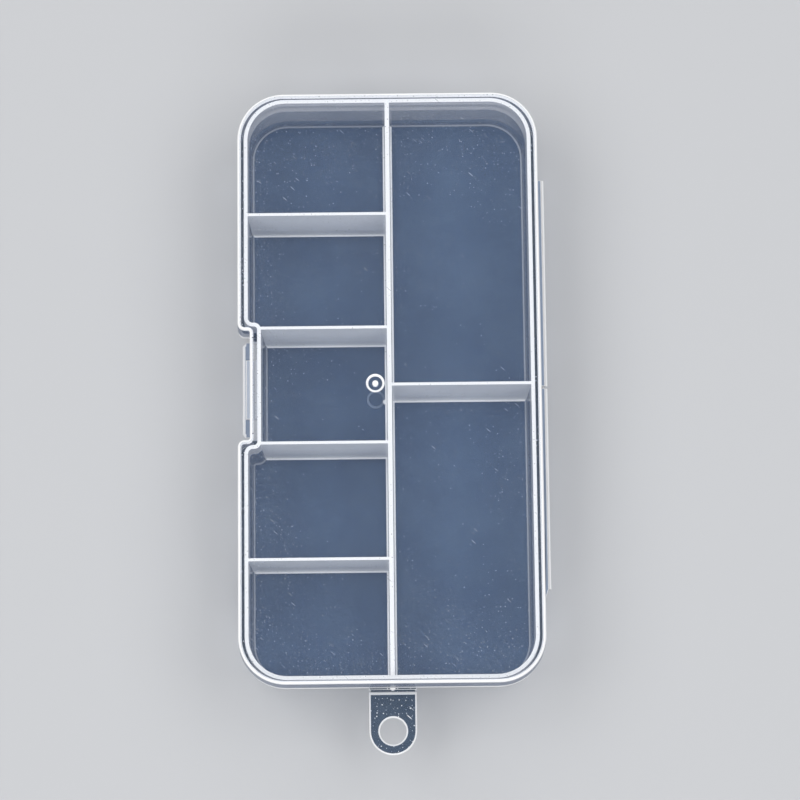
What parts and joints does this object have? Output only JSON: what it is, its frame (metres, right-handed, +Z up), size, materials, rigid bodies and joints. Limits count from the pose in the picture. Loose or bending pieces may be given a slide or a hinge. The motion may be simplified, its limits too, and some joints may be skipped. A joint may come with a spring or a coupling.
{
  "type": "compartment storage box",
  "caption": "Flat pocket box of clear plastic with a film-hinged snap lid, fixed compartments and a hang tab with a round hole.",
  "frame": {"origin": "middle of the tray's flat bottom face, which rests on the table", "axes": "+X towards the film hinge, -X towards the latch, -Y towards the hang tab, +Z up through the lid"},
  "size_m": [0.0669, 0.143, 0.0204],
  "materials": {
    "clear_plastic": "clear polypropylene with a slight milky haze"
  },
  "bodies": {
    "base": {"tray_floor": "clear_plastic", "tray_wall": "clear_plastic", "tray_rim": "clear_plastic", "centre_divider": "clear_plastic", "cross_divider_1": "clear_plastic", "cross_divider_2": "clear_plastic", "cross_divider_3": "clear_plastic", "cross_divider_4": "clear_plastic", "right_divider": "clear_plastic", "latch_catch": "clear_plastic", "tray_hinge_leaf_rear": "clear_plastic", "tray_hinge_leaf_front": "clear_plastic", "hang_tab_root": "clear_plastic", "hinge_film_rear": "clear_plastic", "hinge_film_front": "clear_plastic", "hang_tab_film": "clear_plastic"},
    "lid": {"lid_panel": "clear_plastic", "lid_skirt": "clear_plastic", "lid_hinge_leaf_rear": "clear_plastic", "lid_hinge_leaf_front": "clear_plastic"},
    "latch": {"latch_flap": "clear_plastic", "thumb_lip": "clear_plastic", "latch_hook": "clear_plastic"},
    "hang_tab": {"hang_tab": "clear_plastic"}
  },
  "joints": [
    {"name": "lid_hinge", "type": "hinge", "parent": "base", "child": "lid", "pos_m": [0.0339, 0, 0.01235], "axis": [0, 1, 0], "range_deg": [0, 180], "deforming": ["hinge_film_rear", "hinge_film_front"]},
    {"name": "latch_flex", "type": "hinge", "parent": "lid", "child": "latch", "pos_m": [-0.02953, 0, 0.01915], "axis": [0, 1, 0], "range_deg": [0, 5], "stiffness_Nm_per_rad": 0.01},
    {"name": "tab_fold", "type": "hinge", "parent": "base", "child": "hang_tab", "pos_m": [0, -0.06505, 0.01213], "axis": [-1, 0, 0], "range_deg": [-15, 90], "stiffness_Nm_per_rad": 0.002, "deforming": ["hang_tab_film"]}
  ]
}
